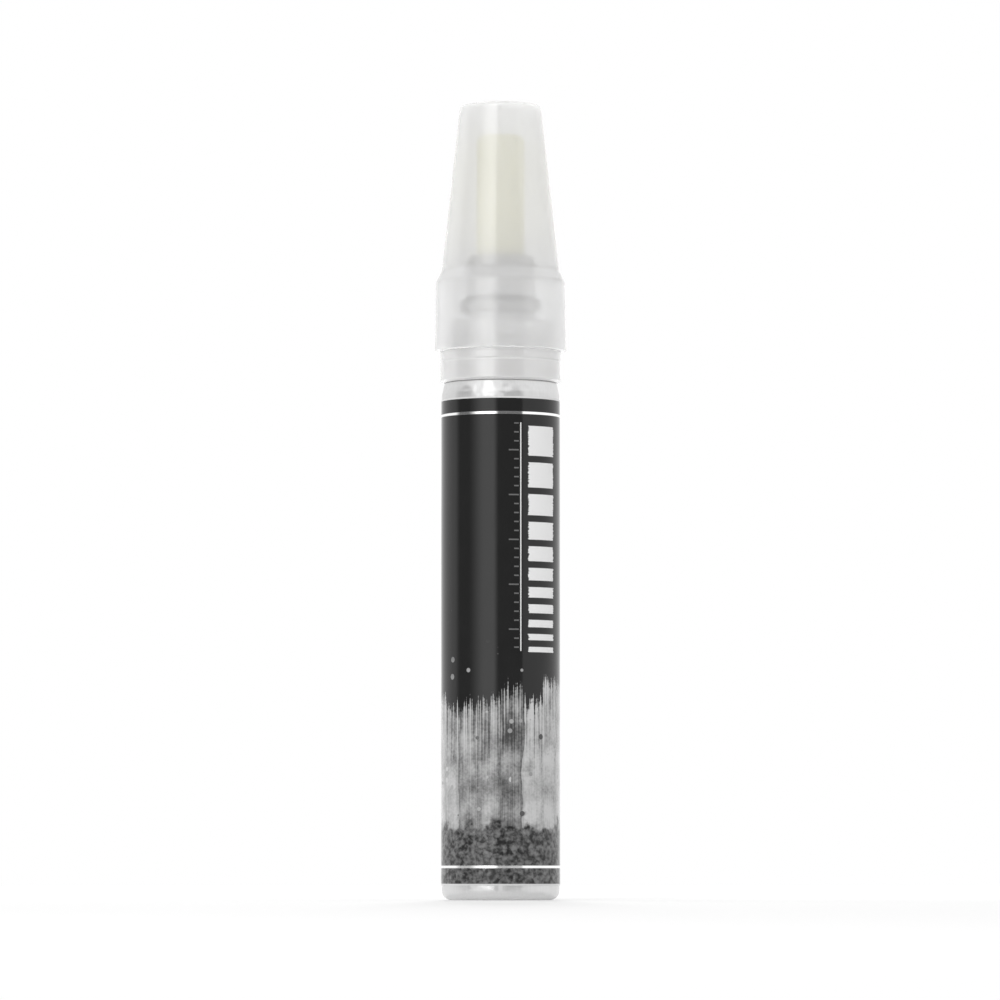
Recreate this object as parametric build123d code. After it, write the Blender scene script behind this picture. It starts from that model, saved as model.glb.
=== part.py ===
from build123d import *
from math import cos, pi, sin, sqrt
import os

# Valve-action paint marker with a frosted pull-off cap and a round block nib.
# It stands on its base at z = 0, its axis is Z, and all sizes are millimetres.
# A drawn aluminium barrel holds the paint and two mixing balls. The front section plugs the
# barrel, guides the nib and carries the valve, and the barrel's mouth is turned in over it.
# Pressing the nib pushes the valve stem off its seat against a spring, and paint runs past
# the stem into the nib.

# Barrel
barrel_diameter = 19.8
barrel_height = 87.0
barrel_wall = 0.5
barrel_floor = 0.8
barrel_floor_round = 0.9
shoulder_height = 2.0
shoulder_step = 0.45
shoulder_round = 2.0
mouth_round = 0.5
mouth_lip_width = 1.45
mouth_lip_round = 0.2
base_round = 1.3
base_recess_depth = 0.6
standing_ring_width = 1.6

# Printed film label round the barrel
label_thickness = 0.1
label_base_margin = 2.45
label_lip_margin = 2.9

# Front section, outside
spigot_length = 7.4
spigot_lead = 0.5
collar_overhang = 0.3
collar_height = 5.3
collar_round = 0.3
cap_seat_width = 1.0
neck_height = 5.0
neck_round = 0.8
ring_groove_height = 1.5
ring_step = 0.65
ring_height = 2.2
nose_wall = 1.8
nose_height = 7.5
nose_lip_height = 1.1
nose_lip_step = 0.3
nose_taper = 0.85
nose_taper_height = 1.8
nose_round = 0.25

# Front section, inside
pocket_wall = 1.06
valve_ledge_width = 0.3
core_gap = 1.0
nib_tube_wall = 1.15
nib_groove_depth = 0.35
grip_rib_count = 6
grip_rib_width = 1.1
grip_rib_setback = 0.8
section_roof = 1.6

# Beads: two that seal the spigot, one that holds the valve, one that grips the cap
seal_bead_height = 0.1
seal_bead_width = 0.8
seal_bead_pitch = 2.0
valve_bead_height = 0.2
valve_bead_width = 1.0
cap_bead_height = 0.2
cap_bead_width = 1.4
cap_bead_lift = 2.6

# Nib
nib_exposed = 20.4
nib_shank = 17.0
nib_edge_round = 0.9
nib_tail = 0.4
nib_tail_chamfer = 0.5

# Valve, with its radii as shares of the pocket's radius
port_share = 0.275
coil_share = 0.377
poppet_share = 0.49
cage_share = 0.74

# Valve seat
meter_gap = 3.9
seat_thickness = 2.5
port_countersink = 0.6
seat_land_width = 0.7
seat_land_height = 0.3

# Valve stem and its washer
stem_clearance = 0.2
flute_rib_width = 0.9
washer_inset = 0.2
washer_thickness = 0.8
poppet_thickness = 1.0
spring_boss_length = 2.0
spring_boss_gap = 0.4

# Valve spring
spring_wire = 0.5
spring_length = 10.0
spring_turns = 6.5

# Valve cage
cage_wall = 0.9
cage_floor = 1.2
cage_flange_height = 1.0
cage_window_count = 4
cage_window_width = 2.6
cage_window_margin = 1.6
cage_drain_diameter = 2.4

# Mixing balls
ball_diameter = 5.5
ball_spacing = 6.6

# Cap
cap_wall = 1.15
cap_roof = 0.85
cap_crown = 0.35
cap_top_round = 0.8
cap_inner_round = 0.8
cap_tip_gap = 4.4
cap_cone_taper = 3.05
cap_shoulder_step = 0.98
cap_shoulder_height = 1.95
cap_shoulder_round = 2.5
cap_skirt_height = 11.8
cap_skirt_draft = 0.2
cap_overhang = 0.95
cap_rim_round = 0.25
cap_bore_height = 10.6

# Clearances
fixed_fit = 0.04
sliding_fit = 0.05
rest_gap = 0.02

# Radii from the barrel inwards, through the front section to the nib
barrel_radius = barrel_diameter / 2
bore_radius = barrel_radius - barrel_wall
seal_radius = bore_radius - fixed_fit
spigot_radius = seal_radius - seal_bead_height
mouth_radius = barrel_radius - shoulder_step
lip_radius = mouth_radius - mouth_lip_width
waist_radius = lip_radius - fixed_fit
pocket_radius = waist_radius - pocket_wall
cavity_radius = pocket_radius - valve_ledge_width
nib_tube_radius = cavity_radius - core_gap
nib_bore_radius = nib_tube_radius - nib_tube_wall
grip_radius = nib_bore_radius - nib_groove_depth
nib_radius = grip_radius - sliding_fit

# Radii of the nose, the collar, the neck and the cap
nose_radius = nib_bore_radius + nose_wall
nose_tip_radius = nose_radius - nose_taper
nose_body_radius = nose_radius - nose_lip_step
nose_ring_radius = nose_radius + ring_step
collar_radius = barrel_radius + collar_overhang
neck_radius = collar_radius - cap_seat_width
cap_bore_radius = neck_radius + cap_bead_height + sliding_fit
cap_rim_radius = collar_radius + cap_overhang
cap_skirt_radius = cap_rim_radius - cap_skirt_draft
cap_cone_base_radius = cap_skirt_radius - cap_shoulder_step
cap_cone_top_radius = cap_cone_base_radius - cap_cone_taper

# Radii of the valve
valve_fit_radius = pocket_radius - fixed_fit
port_radius = port_share * pocket_radius
stem_radius = port_radius - stem_clearance
poppet_radius = poppet_share * pocket_radius
washer_radius = poppet_radius - washer_inset
coil_radius = coil_share * pocket_radius
wire_radius = spring_wire / 2
cage_radius = cage_share * pocket_radius
cage_bore_radius = cage_radius - cage_wall
ball_radius = ball_diameter / 2

# Heights from the base up to the top of the cap
floor_z = base_recess_depth + barrel_floor
shoulder_z = barrel_height - shoulder_height
spigot_z = barrel_height - spigot_length
cap_seat_z = barrel_height + collar_height
neck_top_z = cap_seat_z + neck_height
ring_z = neck_top_z + ring_groove_height
ring_top_z = ring_z + ring_height
nose_top_z = ring_top_z + nose_height
nib_top_z = nose_top_z + nib_exposed
cap_shoulder_z = cap_seat_z + cap_skirt_height
cap_cone_base_z = cap_shoulder_z + cap_shoulder_height
cap_ceiling_z = nib_top_z + cap_tip_gap
cap_cone_top_z = cap_ceiling_z + cap_roof
cap_top_z = cap_cone_top_z + cap_crown

# Heights from the nib down through the valve
nib_bottom_z = nose_top_z - nib_shank
nib_tube_z = nib_bottom_z + nib_tail
seat_top_z = nib_bottom_z - meter_gap
seat_bottom_z = seat_top_z - seat_thickness
land_z = seat_bottom_z - seat_land_height
poppet_top_z = land_z - washer_thickness
poppet_bottom_z = poppet_top_z - poppet_thickness
cage_floor_z = poppet_bottom_z - spring_length
cage_bottom_z = cage_floor_z - cage_floor


def turned(*corners):
    """Revolve a closed outline of (radius, height, corner round) about the Z axis."""
    points = [(radius, height) for radius, height, _ in corners]
    rounds = [corner_round for _, _, corner_round in corners]
    with BuildSketch(Plane.XZ) as section:
        with BuildLine():
            FilletPolyline(*points, radius=rounds, close=True)
        make_face()
    return revolve(section.sketch, Axis.Z)


def ring(inner, outer, low, high):
    """Plain tube between two radii and two heights."""
    return turned((inner, low, 0), (outer, low, 0), (outer, high, 0), (inner, high, 0))


def bead(surface, height, width, middle):
    """Ring bead with sloping flanks, standing out from a surface radius by a height."""
    root = surface - height
    half_width = width / 2
    flank = abs(height)
    return turned(
        (root, middle - half_width - flank, 0),
        (surface, middle - half_width, 0),
        (surface + height, middle - half_width + flank, 0),
        (surface + height, middle + half_width - flank, 0),
        (surface, middle + half_width, 0),
        (root, middle + half_width + flank, 0),
    )


def make_barrel():
    """Drawn tube with a recessed base, a standing ring, a sloping shoulder and an inward lip."""
    ring_outer = barrel_radius - base_round
    ring_inner = ring_outer - standing_ring_width
    lip_under_z = barrel_height - barrel_wall
    lip_step = shoulder_step * (shoulder_height - barrel_wall) / shoulder_height
    return turned(
        (0, base_recess_depth, 0),
        (ring_inner - base_recess_depth, base_recess_depth, base_recess_depth / 2),
        (ring_inner, 0, 0),
        (barrel_radius, 0, base_round),
        (barrel_radius, shoulder_z, shoulder_round),
        (mouth_radius, barrel_height, mouth_round),
        (lip_radius, barrel_height, 0),
        (lip_radius, lip_under_z, 0),
        (bore_radius - lip_step, lip_under_z, mouth_lip_round),
        (bore_radius, shoulder_z, shoulder_round),
        (bore_radius, floor_z, barrel_floor_round),
        (0, floor_z, 0),
    )


def make_label():
    """Film sleeve round the barrel, short of its base and of its shoulder."""
    label_radius = barrel_radius + label_thickness
    return ring(barrel_radius, label_radius, label_base_margin, barrel_height - label_lip_margin)


def make_front_section():
    """One moulding: spigot, collar, cap neck, nose and the ribbed tube that guides the nib."""
    roof_z = neck_top_z - section_roof
    spigot_top_z = barrel_height - barrel_wall - fixed_fit
    spigot_step = shoulder_step * (spigot_top_z - shoulder_z) / shoulder_height
    taper_z = nose_top_z - nose_taper_height
    lip_z = taper_z - nose_lip_height
    body = turned(
        (pocket_radius, spigot_z, 0),
        (spigot_radius - spigot_lead, spigot_z, 0),
        (spigot_radius, spigot_z + spigot_lead, 0),
        (spigot_radius, shoulder_z, shoulder_round),
        (spigot_radius - spigot_step, spigot_top_z, 2 * mouth_lip_round),
        (waist_radius, spigot_top_z, 0),
        (waist_radius, barrel_height, 0),
        (collar_radius, barrel_height, collar_round),
        (collar_radius, cap_seat_z, collar_round),
        (neck_radius, cap_seat_z, 0),
        (neck_radius, neck_top_z, neck_round),
        (nose_body_radius, neck_top_z, 0),
        (nose_body_radius, ring_z, 0),
        (nose_ring_radius, ring_z, nose_round),
        (nose_ring_radius, ring_top_z, nose_round),
        (nose_body_radius, ring_top_z, 0),
        (nose_body_radius, lip_z, 0),
        (nose_radius, lip_z, 0),
        (nose_radius, taper_z, nose_round),
        (nose_tip_radius, nose_top_z, nose_round),
        (nib_bore_radius, nose_top_z, 0),
        (nib_bore_radius, nib_tube_z, 0),
        (nib_tube_radius, nib_tube_z, 0),
        (nib_tube_radius, roof_z, 0),
        (cavity_radius, roof_z, 0),
        (cavity_radius, seat_top_z, 0),
        (pocket_radius, seat_top_z, 0),
    )
    for index in (1, 2):
        bead_z = spigot_z + index * seal_bead_pitch
        body += bead(spigot_radius, seal_bead_height, seal_bead_width, bead_z)
    body += bead(neck_radius, cap_bead_height, cap_bead_width, cap_seat_z + cap_bead_lift)
    valve_bead_middle = seat_bottom_z - cage_flange_height - fixed_fit - valve_bead_width / 2
    body += bead(pocket_radius, -valve_bead_height, valve_bead_width, valve_bead_middle)
    rib_depth = nib_groove_depth + nib_tube_wall / 2
    rib_length = nose_top_z - grip_rib_setback - nib_tube_z
    rib = Pos(grip_radius, 0, nib_tube_z) * Box(
        rib_depth, grip_rib_width, rib_length, align=(Align.MIN, Align.CENTER, Align.MIN)
    )
    for index in range(grip_rib_count):
        body += Rot(Z=index * 360 / grip_rib_count) * rib
    return body


def make_nib():
    """Round felt block with a softened flat tip."""
    return turned(
        (0, nib_bottom_z, 0),
        (nib_radius - nib_tail_chamfer, nib_bottom_z, 0),
        (nib_radius, nib_bottom_z + nib_tail_chamfer, 0),
        (nib_radius, nib_top_z, nib_edge_round),
        (0, nib_top_z, 0),
    )


def make_valve_seat():
    """Disc with a port, a countersink above it and a raised sealing land below it."""
    land_outer = port_radius + seat_land_width
    return turned(
        (port_radius, land_z, 0),
        (land_outer, land_z, 0),
        (land_outer, seat_bottom_z, 0),
        (valve_fit_radius, seat_bottom_z, 0),
        (valve_fit_radius, seat_top_z, 0),
        (port_radius + port_countersink, seat_top_z, 0),
        (port_radius, seat_top_z - port_countersink, 0),
    )


def make_valve_stem():
    """Fluted push rod on a round poppet, with a boss below that centres the spring."""
    boss_radius = coil_radius - wire_radius - spring_boss_gap
    poppet = turned(
        (0, poppet_bottom_z - spring_boss_length, 0),
        (boss_radius, poppet_bottom_z - spring_boss_length, spring_boss_gap / 2),
        (boss_radius, poppet_bottom_z, 0),
        (poppet_radius, poppet_bottom_z, 0),
        (poppet_radius, poppet_top_z, 0),
        (stem_radius, poppet_top_z, 0),
        (stem_radius, land_z, 0),
        (0, land_z, 0),
    )
    rod_length = nib_bottom_z - land_z
    rod = Pos(0, 0, land_z) * Cylinder(
        stem_radius, rod_length, align=(Align.CENTER, Align.CENTER, Align.MIN)
    )
    blade = Box(
        2 * stem_radius, flute_rib_width, rod_length, align=(Align.CENTER, Align.CENTER, Align.MIN)
    )
    cross = Pos(0, 0, land_z) * (blade + Rot(Z=90) * blade)
    return poppet + (rod & cross)


def make_valve_washer():
    """Rubber washer round the stem, closed against the seat's land."""
    return ring(stem_radius + fixed_fit, washer_radius, poppet_top_z, land_z)


def make_valve_cage():
    """Cup that holds the spring, with a flange in the pocket and windows that let paint in."""
    cage = turned(
        (cage_drain_diameter / 2, cage_bottom_z, 0),
        (cage_radius, cage_bottom_z, cage_wall / 2),
        (cage_radius, seat_bottom_z - cage_flange_height, 0),
        (valve_fit_radius, seat_bottom_z - cage_flange_height, 0),
        (valve_fit_radius, seat_bottom_z, 0),
        (cage_bore_radius, seat_bottom_z, 0),
        (cage_bore_radius, cage_floor_z, 0),
        (cage_drain_diameter / 2, cage_floor_z, 0),
    )
    window_z = cage_floor_z + cage_window_margin
    window_height = seat_bottom_z - cage_flange_height - cage_window_margin - window_z
    window_reach = cage_radius + cage_wall
    window = Pos(0, 0, window_z) * Box(
        window_reach, cage_window_width, window_height, align=(Align.MIN, Align.CENTER, Align.MIN)
    )
    for index in range(cage_window_count):
        cage -= Rot(Z=index * 360 / cage_window_count) * window
    return cage


def helix_arcs(radius, low, high, turns, arcs_per_turn=4):
    """Tangent arc pairs along a helix, a pair for each part of a turn."""
    spans = round(turns * arcs_per_turn)
    angle_step = 2 * pi * turns / spans
    rise_step = (high - low) / spans
    slope = rise_step / angle_step

    def point(index):
        angle = index * angle_step
        return Vector(radius * cos(angle), radius * sin(angle), low + index * rise_step)

    def direction(index):
        angle = index * angle_step
        return Vector(-radius * sin(angle), radius * cos(angle), slope).normalized()

    arcs = []
    for index in range(spans):
        start, end = point(index), point(index + 1)
        leave, arrive = direction(index), direction(index + 1)
        chord = end - start
        along = chord.dot(leave + arrive)
        spread = 2 * (1 - leave.dot(arrive))
        reach = (sqrt(along**2 + spread * chord.dot(chord)) - along) / spread
        joint = (start + end + (leave - arrive) * reach) / 2
        middle = (chord - (leave + arrive) * reach).normalized()
        arcs.append(TangentArc(start, joint, tangent=leave))
        arcs.append(TangentArc(joint, end, tangent=middle))
    return arcs


def make_valve_spring():
    """Open coil of round wire between the cage floor and the poppet."""
    low = cage_floor_z + wire_radius + rest_gap
    high = poppet_bottom_z - wire_radius - rest_gap
    path = Wire(helix_arcs(coil_radius, low, high, spring_turns))
    wire_section = Plane(path @ 0, z_dir=path % 0) * Circle(wire_radius)
    spring = sweep(wire_section, path=path)
    pitch = (high - low) / spring_turns
    wire_volume = pi * wire_radius**2 * path.length
    print(f"spring: gap between turns {pitch - spring_wire:.2f}")
    print(f"spring: volume {spring.volume:.2f}, section times length {wire_volume:.2f}")
    return spring


def make_mixing_ball(side):
    """Steel ball on the barrel floor, to one side of the axis."""
    return Pos(side * ball_spacing / 2, 0, floor_z + ball_radius + rest_gap) * Sphere(ball_radius)


def make_cap():
    """Conical cap: crowned top, flared shoulder and a skirt whose rim sits on the collar."""
    crown_middle = (cap_cone_top_radius / 2, cap_top_z - cap_crown / 4)
    with BuildSketch(Plane.XZ) as outer_section:
        with BuildLine():
            FilletPolyline(
                (0, cap_seat_z),
                (cap_rim_radius, cap_seat_z),
                (cap_skirt_radius, cap_shoulder_z),
                (cap_cone_base_radius, cap_cone_base_z),
                (cap_cone_top_radius, cap_cone_top_z),
                radius=[cap_rim_round, cap_shoulder_round, cap_shoulder_round],
            )
            ThreePointArc((cap_cone_top_radius, cap_cone_top_z), crown_middle, (0, cap_top_z))
            Line((0, cap_top_z), (0, cap_seat_z))
        make_face()
    outer = revolve(outer_section.sketch, Axis.Z)
    full_circles = outer.edges().filter_by(lambda edge: edge.is_closed)
    outer = fillet(full_circles.sort_by(Axis.Z)[-1], cap_top_round)
    hollow = turned(
        (0, cap_seat_z, 0),
        (cap_bore_radius, cap_seat_z, 0),
        (cap_bore_radius, cap_seat_z + cap_bore_height, cap_inner_round),
        (cap_cone_base_radius - cap_wall, cap_cone_base_z, cap_inner_round),
        (cap_cone_top_radius - cap_wall, cap_ceiling_z, cap_inner_round),
        (0, cap_ceiling_z, 0),
    )
    return outer - hollow


pieces = {
    "barrel": make_barrel(),
    "label": make_label(),
    "front_section": make_front_section(),
    "nib": make_nib(),
    "valve_seat": make_valve_seat(),
    "valve_stem": make_valve_stem(),
    "valve_washer": make_valve_washer(),
    "valve_spring": make_valve_spring(),
    "valve_cage": make_valve_cage(),
    "mixing_ball_left": make_mixing_ball(-1),
    "mixing_ball_right": make_mixing_ball(1),
    "cap": make_cap(),
}

os.makedirs("parts", exist_ok=True)
for name, piece in pieces.items():
    export_step(piece, f"parts/{name}.step")
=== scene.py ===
import bpy
import numpy as np
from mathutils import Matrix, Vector


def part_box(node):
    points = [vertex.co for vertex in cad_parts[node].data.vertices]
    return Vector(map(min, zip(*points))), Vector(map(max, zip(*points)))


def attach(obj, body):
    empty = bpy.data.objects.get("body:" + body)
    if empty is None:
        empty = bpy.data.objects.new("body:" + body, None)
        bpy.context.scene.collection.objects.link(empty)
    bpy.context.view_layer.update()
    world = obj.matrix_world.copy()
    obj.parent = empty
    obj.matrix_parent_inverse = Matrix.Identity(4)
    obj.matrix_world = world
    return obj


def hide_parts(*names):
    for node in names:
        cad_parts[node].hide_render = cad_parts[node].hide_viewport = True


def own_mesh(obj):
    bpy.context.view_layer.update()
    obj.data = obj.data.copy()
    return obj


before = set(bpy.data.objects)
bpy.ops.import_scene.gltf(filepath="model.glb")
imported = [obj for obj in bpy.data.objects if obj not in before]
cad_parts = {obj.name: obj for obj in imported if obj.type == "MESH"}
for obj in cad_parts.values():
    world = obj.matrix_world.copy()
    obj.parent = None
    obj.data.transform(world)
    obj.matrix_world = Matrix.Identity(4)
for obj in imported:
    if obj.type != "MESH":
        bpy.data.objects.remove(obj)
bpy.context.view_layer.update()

mm = 0.001               # the frame is in metres, the sizes below are in millimetres
noiseSpan = (0.3, 0.7)   # where the values of a noise mostly lie
tintSpan = (0.35, 0.7)
scene = bpy.context.scene


# Widest radius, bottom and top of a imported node, in millimetres
def reach(node):
    low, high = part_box(node)
    return high.x / mm, low.z / mm, high.z / mm


barrelRadius, baseZ, barrelTop = reach("barrel")
_, labelLow, labelTop = reach("label")
collarRadius, spigotZ, noseTop = reach("front_section")
nibRadius, nibLow, nibTop = reach("nib")
_, capSeat, capTop = reach("cap")
coilRadius, springLow, springTop = reach("valve_spring")
pocketRadius, _, seatTop = reach("valve_seat")
print("frame: marker stands", round(capTop, 2), "mm tall")


# Rounded outline: each corner (r, z, round) becomes the arc of that radius which touches both its sides. An arc
# takes at most sideShare of a side, and a corner that turns by less than leastTurn stays a point. Long straight
# stretches get points near their ends and a few millimetres apart, so that they shade flat.
def roundedOutline(corners, closed=False, arcSteps=9, longest=4.0, endGap=0.12, sideShare=0.49, leastTurn=0.001):
    flat = np.array([corner[:2] for corner in corners], float)
    count = len(corners)
    runs = []
    for k, (_, _, roundOff) in enumerate(corners):
        here = flat[k]
        if roundOff == 0 or (not closed and k in (0, count - 1)):
            runs.append(here[None])
            continue
        toBack, toNext = flat[k - 1] - here, flat[(k + 1) % count] - here
        backLength, nextLength = np.linalg.norm(toBack), np.linalg.norm(toNext)
        toBack, toNext = toBack / backLength, toNext / nextLength
        half = np.arccos(np.clip(toBack @ toNext, -1, 1)) / 2
        sweep = np.pi - 2 * half
        if sweep < leastTurn:
            runs.append(here[None])
            continue
        touch = min(roundOff / np.tan(half), sideShare * backLength, sideShare * nextLength)
        radius = touch * np.tan(half)
        middle = here + (toBack + toNext) / np.linalg.norm(toBack + toNext) * radius / np.sin(half)
        first, last = here + toBack * touch - middle, here + toNext * touch - middle
        share = np.linspace(0, 1, arcSteps)[:, None]
        arc = (np.sin((1 - share) * sweep) * first + np.sin(share * sweep) * last) / np.sin(sweep)
        runs.append(middle + arc)
    points = np.concatenate(runs)
    ends = np.roll(points, -1, axis=0) if closed else points[1:]
    filled = []
    for start, end in zip(points, ends):
        length = np.linalg.norm(end - start)
        share = np.zeros(1)
        if length > 4 * endGap:
            inner = np.linspace(endGap, length - endGap, max(2, int(length / longest) + 2))
            share = np.concatenate([share, inner / length])
        filled.append(start + share[:, None] * (end - start))
    if not closed:
        filled.append(points[-1:])
    return np.concatenate(filled)


# Mesh from whole arrays: points, four-cornered faces, three-cornered faces, and one UV per face corner if given
def meshPiece(name, points, quads, triangles=None, uv=None):
    triangles = np.zeros((0, 3), int) if triangles is None else triangles
    corners = np.concatenate([quads.ravel(), triangles.ravel()])
    starts = np.concatenate([np.arange(len(quads)) * 4, quads.size + np.arange(len(triangles)) * 3])
    mesh = bpy.data.meshes.new(name)
    mesh.vertices.add(len(points))
    mesh.vertices.foreach_set("co", np.ascontiguousarray(points, dtype=np.float32).ravel())
    mesh.loops.add(len(corners))
    mesh.loops.foreach_set("vertex_index", corners.astype(np.int32))
    mesh.polygons.add(len(starts))
    mesh.polygons.foreach_set("loop_start", starts.astype(np.int32))
    mesh.polygons.foreach_set("use_smooth", np.ones(len(starts), bool))
    mesh.update(calc_edges=True)
    if uv is not None:
        layer = mesh.uv_layers.new(name="wrap")
        layer.data.foreach_set("uv", uv.astype(np.float32).ravel())
    mesh.validate()
    piece = bpy.data.objects.new(name, mesh)
    scene.collection.objects.link(piece)
    return piece


# Surface of revolution: point (i, j) stands at (r_j cos a_i, r_j sin a_i, z_j), with r_j changed by shift(a, r, z)
# if given. An outline runs up its outer side. An open one starts and ends on the axis, where its ring shrinks to
# one vertex. Zones give each step of an open outline its material number.
def turnedPiece(name, outline, closed=False, around=224, shift=None, zones=None):
    angles = np.linspace(0, 2 * np.pi, around, endpoint=False)[:, None]
    r, z = outline[:, 0][None], outline[:, 1][None]
    radius = np.repeat(r, around, axis=0)
    if shift is not None:
        radius = radius + shift(angles, r, z)
    heights = np.repeat(z, around, axis=0)
    grid = np.stack([radius * np.cos(angles), radius * np.sin(angles), heights], axis=-1) * mm
    if closed:
        index = np.arange(grid[..., 0].size).reshape(radius.shape)
        beside, above = np.roll(index, -1, axis=0), np.roll(index, -1, axis=1)
        corner = np.roll(beside, -1, axis=1)
        quads = np.stack([index, beside, corner, above], axis=-1).reshape(-1, 4)
        return meshPiece(name, grid.reshape(-1, 3), quads)
    rings = grid[:, 1:-1]
    index = np.arange(rings[..., 0].size).reshape(rings.shape[:2])
    beside = np.roll(index, -1, axis=0)
    quads = np.stack([index[:, :-1], beside[:, :-1], beside[:, 1:], index[:, 1:]], axis=-1).reshape(-1, 4)
    startPole, endPole = index.size, index.size + 1
    fans = np.concatenate([
        np.stack([np.full(around, startPole), beside[:, 0], index[:, 0]], axis=-1),
        np.stack([index[:, -1], beside[:, -1], np.full(around, endPole)], axis=-1),
    ])
    points = np.concatenate([rings.reshape(-1, 3), grid[:1, 0], grid[:1, -1]])
    piece = meshPiece(name, points, quads, fans)
    if zones is not None:
        sides = np.concatenate([np.tile(zones[1:-1], around), np.repeat(zones[[0, -1]], around)])
        piece.data.polygons.foreach_set("material_index", sides.astype(np.int32))
    return piece


# Node helpers: wire adds one node, calc one sum, fade one smooth step, within one soft-edged band,
# average one weighted mean, blend one colour mix
def wire(tree, kind, inputs=None, **settings):
    node = tree.nodes.new("ShaderNode" + kind)
    for key, value in settings.items():
        setattr(node, key, value)
    for socket, value in (inputs or {}).items():
        if isinstance(value, bpy.types.NodeSocket):
            tree.links.new(value, node.inputs[socket])
        else:
            node.inputs[socket].default_value = value
    return node


def calc(tree, operation, *values):
    return wire(tree, "Math", dict(enumerate(values)), operation=operation).outputs[0]


def fade(tree, value, start, end, low=0.0, high=1.0):
    inputs = {"Value": value, "From Min": start, "From Max": end, "To Min": low, "To Max": high}
    return wire(tree, "MapRange", inputs, interpolation_type="SMOOTHSTEP").outputs[0]


def within(tree, value, low, high, soft=0.03):
    rising = fade(tree, value, low - soft, low + soft)
    return calc(tree, "MULTIPLY", rising, fade(tree, value, high + soft, high - soft))


def average(tree, first, second, share):
    return calc(tree, "ADD", calc(tree, "MULTIPLY", first, share), calc(tree, "MULTIPLY", second, 1 - share))


def blend(tree, factor, first, second):
    return wire(tree, "Mix", {0: factor, 6: first, 7: second}, data_type="RGBA").outputs[2]


def grey(level, warmth=0.0):
    return (level * (1 + warmth), level, level * (1 - warmth), 1)


def newMaterial(name, **constants):
    material = bpy.data.materials.new(name)
    material.use_nodes = True
    shader = material.node_tree.nodes["Principled BSDF"]
    for socket, value in constants.items():
        shader.inputs[socket].default_value = value
    return material, material.node_tree, shader


# Shared effect: cloud gives a slow mottling and grain a fine one, both about 0 to 1, on Object coordinates in mm
def surfaceGroup():
    group = bpy.data.node_groups.new("mouldedSurface", "ShaderNodeTree")
    for name, value in (("Cloud Size", 6.0), ("Grain Size", 0.25)):
        group.interface.new_socket(name, in_out="INPUT", socket_type="NodeSocketFloat").default_value = value
    for name in ("Cloud", "Grain"):
        group.interface.new_socket(name, in_out="OUTPUT", socket_type="NodeSocketFloat")
    start, end = group.nodes.new("NodeGroupInput"), group.nodes.new("NodeGroupOutput")
    place = wire(group, "TexCoord").outputs["Object"]
    for name, detail in (("Cloud", 3.0), ("Grain", 2.0)):
        scale = calc(group, "DIVIDE", 1 / mm, start.outputs[name + " Size"])
        noise = wire(group, "TexNoise", {"Vector": place, "Scale": scale, "Detail": detail})
        group.links.new(noise.outputs[0], end.inputs[name])
    return group


surfaceNodes = surfaceGroup()


def surface(tree, look):
    node = wire(tree, "Group", node_tree=surfaceNodes)
    node.inputs["Cloud Size"].default_value = look["cloudSize"]
    node.inputs["Grain Size"].default_value = look["grainSize"]
    return node.outputs["Cloud"], node.outputs["Grain"]


def bump(tree, shader, height, strength, distance):
    node = wire(tree, "Bump", {"Height": height, "Strength": strength, "Distance": distance * mm})
    tree.links.new(node.outputs[0], shader.inputs["Normal"])


# Moulded plastic: the cloud drives a slight change of roughness and tint, and the grain a spark-eroded bump.
# Painted light and shade, where a look gives it, tints bands of the height lighter or darker in place of the shade
# and light seen through the cap. A milky share scatters light through, under a gloss on the outer face.
def mouldedPlastic(name, look, **constants):
    material, tree, shader = newMaterial(name, **constants)
    cloud, grain = surface(tree, look)
    tree.links.new(fade(tree, cloud, *noiseSpan, *look["roughness"]), shader.inputs["Roughness"])
    tint = blend(tree, fade(tree, cloud, *tintSpan), look["colour"], look["deepColour"])
    if "spans" in look:
        up = wire(tree, "SeparateXYZ", {"Vector": wire(tree, "TexCoord").outputs["Object"]}).outputs[2]
        # Painted light and shade: each listed band of the height takes its lighter or darker tone
        for spanLow, spanHigh, paintedTone in look["spans"]:
            here = within(tree, up, spanLow * mm, spanHigh * mm, look["paintedShadeEdge"] * mm)
            tint = blend(tree, here, tint, paintedTone)
    tree.links.new(tint, shader.inputs["Base Color"])
    bump(tree, shader, grain, look["bumpStrength"], look["bumpDepth"])
    if "milky" in look:
        through = wire(tree, "BsdfTranslucent", {"Color": look["milk"]})
        gloss = wire(tree, "BsdfGlossy", {"Color": grey(1.0), "Roughness": look["glossRough"]})
        outer = calc(tree, "SUBTRACT", 1.0, wire(tree, "NewGeometry").outputs["Backfacing"])
        shine = calc(tree, "MULTIPLY", wire(tree, "Fresnel", {"IOR": look["glossIor"]}).outputs[0], outer)
        milk = wire(tree, "MixShader", {0: shine, 1: through.outputs[0], 2: gloss.outputs[0]})
        both = wire(tree, "MixShader", {0: look["milky"], 1: shader.outputs[0], 2: milk.outputs[0]})
        tree.links.new(both.outputs[0], tree.nodes["Material Output"].inputs["Surface"])
    return material


# Puts a finished piece on its body, in place of its node
def fit(piece, material, node, body):
    if material:
        piece.data.materials.append(material)
    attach(piece, body)
    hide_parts(node)
    return piece


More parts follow.
